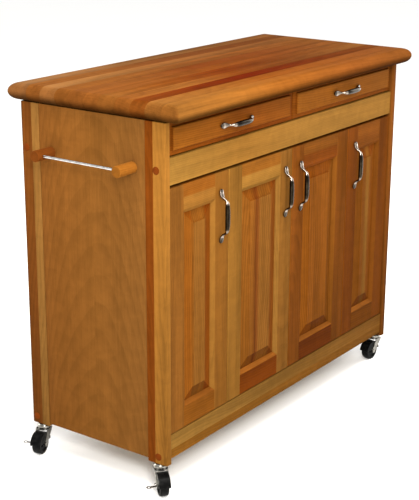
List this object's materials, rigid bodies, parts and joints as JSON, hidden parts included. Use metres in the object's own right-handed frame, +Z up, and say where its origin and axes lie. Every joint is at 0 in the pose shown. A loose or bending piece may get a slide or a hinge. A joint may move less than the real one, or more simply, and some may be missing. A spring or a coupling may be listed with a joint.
{
  "type": "butcher block table",
  "caption": "Rolling kitchen island: butcher block top on a cabinet with drawers, raised-panel doors, a side towel bar and swivel casters.",
  "frame": {"origin": "on the floor, under the middle of the overall box, towel bar included", "axes": "+X to the right as seen from the front, -Y out of the front with the doors, +Z up"},
  "size_m": [1.059, 0.4724, 0.876],
  "materials": {
    "butcher_block": "edge-glued hardwood staves, oiled satin",
    "post_wood": "birch, satin lacquer",
    "panel_wood": "flat-cut birch veneer, satin lacquer",
    "pale_wood": "pale birch, satin lacquer",
    "door_wood": "birch, satin lacquer",
    "door_panel_wood": "birch, satin lacquer",
    "drawer_wood": "birch, satin lacquer",
    "dowel_wood": "turned hardwood, satin lacquer",
    "inside_wood": "unfinished birch and plywood, matt",
    "nickel": "satin nickel plate",
    "rod_steel": "bright drawn steel",
    "zinc": "zinc plate",
    "lever_steel": "zinc plate",
    "hood_plastic": "black moulded",
    "wheel_rubber": "black, smooth tread"
  },
  "bodies": {
    "cabinet": {"butcher_block_top": "butcher_block", "post_front_left": "post_wood", "post_front_right": "post_wood", "post_rear_left": "post_wood", "post_rear_right": "post_wood", "side_panel_left": "panel_wood", "side_panel_right": "panel_wood", "back_panel": "panel_wood", "upper_front_rail": "pale_wood", "lower_front_rail": "pale_wood", "towel_peg_front": "dowel_wood", "towel_peg_rear": "dowel_wood", "towel_rod": "rod_steel", "rear_top_rail": "inside_wood", "cabinet_floor": "inside_wood", "drawer_deck": "inside_wood", "drawer_divider": "inside_wood", "partition_left": "inside_wood", "partition_right": "inside_wood", "shelf_left": "inside_wood", "shelf_middle": "inside_wood", "shelf_right": "inside_wood", "caster_stem_front_left": "zinc", "caster_stem_rear_left": "zinc", "caster_stem_front_right": "zinc", "caster_stem_rear_right": "zinc"},
    "door_1": {"door_frame_1": "door_wood", "door_panel_1": "door_panel_wood", "door_pull_1": "nickel"},
    "door_2": {"door_frame_2": "door_wood", "door_panel_2": "door_panel_wood", "door_pull_2": "nickel"},
    "door_3": {"door_frame_3": "door_wood", "door_panel_3": "door_panel_wood", "door_pull_3": "nickel"},
    "door_4": {"door_frame_4": "door_wood", "door_panel_4": "door_panel_wood", "door_pull_4": "nickel"},
    "drawer_left": {"drawer_front_left": "drawer_wood", "drawer_box_left": "inside_wood", "drawer_bottom_left": "inside_wood", "drawer_pull_left": "nickel"},
    "drawer_right": {"drawer_front_right": "drawer_wood", "drawer_box_right": "inside_wood", "drawer_bottom_right": "inside_wood", "drawer_pull_right": "nickel"},
    "caster_front_left": {"caster_fork_front_left": "zinc", "caster_hood_front_left": "hood_plastic"},
    "wheel_front_left": {"caster_wheel_front_left": "wheel_rubber"},
    "lever_front_left": {"brake_lever_front_left": "lever_steel"},
    "caster_rear_left": {"caster_fork_rear_left": "zinc", "caster_hood_rear_left": "hood_plastic"},
    "wheel_rear_left": {"caster_wheel_rear_left": "wheel_rubber"},
    "lever_rear_left": {"brake_lever_rear_left": "lever_steel"},
    "caster_front_right": {"caster_fork_front_right": "zinc", "caster_hood_front_right": "hood_plastic"},
    "wheel_front_right": {"caster_wheel_front_right": "wheel_rubber"},
    "caster_rear_right": {"caster_fork_rear_right": "zinc", "caster_hood_rear_right": "hood_plastic"},
    "wheel_rear_right": {"caster_wheel_rear_right": "wheel_rubber"}
  },
  "joints": [
    {"name": "door_1_hinge", "type": "hinge", "parent": "cabinet", "child": "door_1", "pos_m": [-0.456, -0.1914, 0.416], "axis": [0, 0, -1], "range_deg": [0, 95]},
    {"name": "door_2_hinge", "type": "hinge", "parent": "cabinet", "child": "door_2", "pos_m": [-0.2385, -0.1914, 0.416], "axis": [0, 0, -1], "range_deg": [0, 95]},
    {"name": "door_3_hinge", "type": "hinge", "parent": "cabinet", "child": "door_3", "pos_m": [0.2825, -0.1914, 0.416], "axis": [0, 0, 1], "range_deg": [0, 95]},
    {"name": "door_4_hinge", "type": "hinge", "parent": "cabinet", "child": "door_4", "pos_m": [0.5, -0.1914, 0.416], "axis": [0, 0, 1], "range_deg": [0, 95]},
    {"name": "drawer_left_slide", "type": "slide", "parent": "cabinet", "child": "drawer_left", "axis": [0, -1, 0], "range_m": [0, 0.24]},
    {"name": "drawer_right_slide", "type": "slide", "parent": "cabinet", "child": "drawer_right", "axis": [0, -1, 0], "range_m": [0, 0.24]},
    {"name": "caster_front_left_swivel", "type": "hinge", "parent": "cabinet", "child": "caster_front_left", "pos_m": [-0.4675, -0.1709, 0.0585], "axis": [0, 0, 1], "continuous": true},
    {"name": "wheel_front_left_spin", "type": "hinge", "parent": "caster_front_left", "child": "wheel_front_left", "pos_m": [-0.48125, -0.18807, 0.025], "axis": [0.7804, -0.6252, 0], "continuous": true},
    {"name": "brake_front_left_lever", "type": "hinge", "parent": "caster_front_left", "child": "lever_front_left", "pos_m": [-0.48125, -0.18807, 0.025], "axis": [0.7804, -0.6252, 0], "range_deg": [0, 25]},
    {"name": "caster_rear_left_swivel", "type": "hinge", "parent": "cabinet", "child": "caster_rear_left", "pos_m": [-0.4675, 0.1781, 0.0585], "axis": [0, 0, 1], "continuous": true},
    {"name": "wheel_rear_left_spin", "type": "hinge", "parent": "caster_rear_left", "child": "wheel_rear_left", "pos_m": [-0.48865, 0.17204, 0.025], "axis": [0.2756, -0.9613, 0], "continuous": true},
    {"name": "brake_rear_left_lever", "type": "hinge", "parent": "caster_rear_left", "child": "lever_rear_left", "pos_m": [-0.48865, 0.17204, 0.025], "axis": [0.2756, -0.9613, 0], "range_deg": [0, 25]},
    {"name": "caster_front_right_swivel", "type": "hinge", "parent": "cabinet", "child": "caster_front_right", "pos_m": [0.5115, -0.1709, 0.0585], "axis": [0, 0, 1], "continuous": true},
    {"name": "wheel_front_right_spin", "type": "hinge", "parent": "caster_front_right", "child": "wheel_front_right", "pos_m": [0.48959, -0.16887, 0.025], "axis": [-0.0924, -0.9957, 0], "continuous": true},
    {"name": "caster_rear_right_swivel", "type": "hinge", "parent": "cabinet", "child": "caster_rear_right", "pos_m": [0.5115, 0.1781, 0.0585], "axis": [0, 0, 1], "continuous": true},
    {"name": "wheel_rear_right_spin", "type": "hinge", "parent": "caster_rear_right", "child": "wheel_rear_right", "pos_m": [0.49305, 0.16612, 0.025], "axis": [0.5446, -0.8387, 0], "continuous": true}
  ]
}
